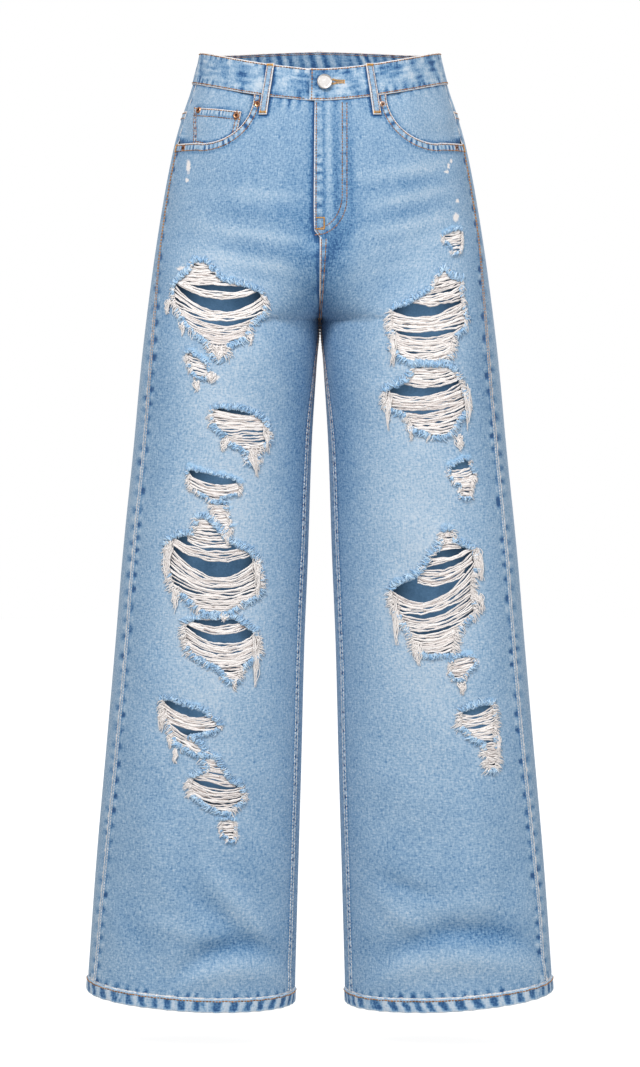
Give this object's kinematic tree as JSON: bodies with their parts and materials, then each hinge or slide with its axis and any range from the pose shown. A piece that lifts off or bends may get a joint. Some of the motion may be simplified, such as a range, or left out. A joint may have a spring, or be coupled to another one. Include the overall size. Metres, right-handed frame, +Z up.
{
  "type": "ripped jeans",
  "caption": "High-waisted wide-leg jeans filled out as if worn: hollow trunk and legs, torn fronts with loose weft yarns, waist button and five-pocket cut.",
  "frame": {"origin": "middle of the waist opening, at the height where the wearer's waist holds the garment", "axes": "+Z up, -Y towards the front, +X towards the wearer's left"},
  "size_m": [0.5372, 0.2466, 1.0977],
  "materials": {
    "denim": "light washed blue denim, worn pale at edges and seams",
    "yarn": "loose undyed cotton weft yarns",
    "steel": "satin nickel",
    "copper": "satin copper"
  },
  "bodies": {
    "root": {"waistband": "denim", "front_right": "denim", "front_left": "denim", "back_right": "denim", "back_left": "denim", "yoke_right": "denim", "yoke_left": "denim", "pocket_facing_right": "denim", "pocket_facing_left": "denim", "coin_pocket": "denim", "back_pocket_right": "denim", "back_pocket_left": "denim", "hem_right": "denim", "hem_left": "denim", "loop_front_right": "denim", "loop_front_left": "denim", "loop_side_right": "denim", "loop_side_left": "denim", "loop_back": "denim", "yarns_thigh_right": "yarn", "yarns_inner_right": "yarn", "yarns_above_knee_right": "yarn", "yarns_knee_right": "yarn", "yarns_below_knee_right": "yarn", "yarns_shin_right": "yarn", "yarns_calf_right": "yarn", "yarns_thigh_left": "yarn", "yarns_mid_left": "yarn", "yarns_knee_left": "yarn", "yarns_shin_left": "yarn", "button": "steel", "rivet_top_right": "copper", "rivet_top_left": "copper", "rivet_side_right": "copper", "rivet_side_left": "copper", "rivet_coin_outer": "copper", "rivet_coin_inner": "copper"}
  },
  "joints": []
}
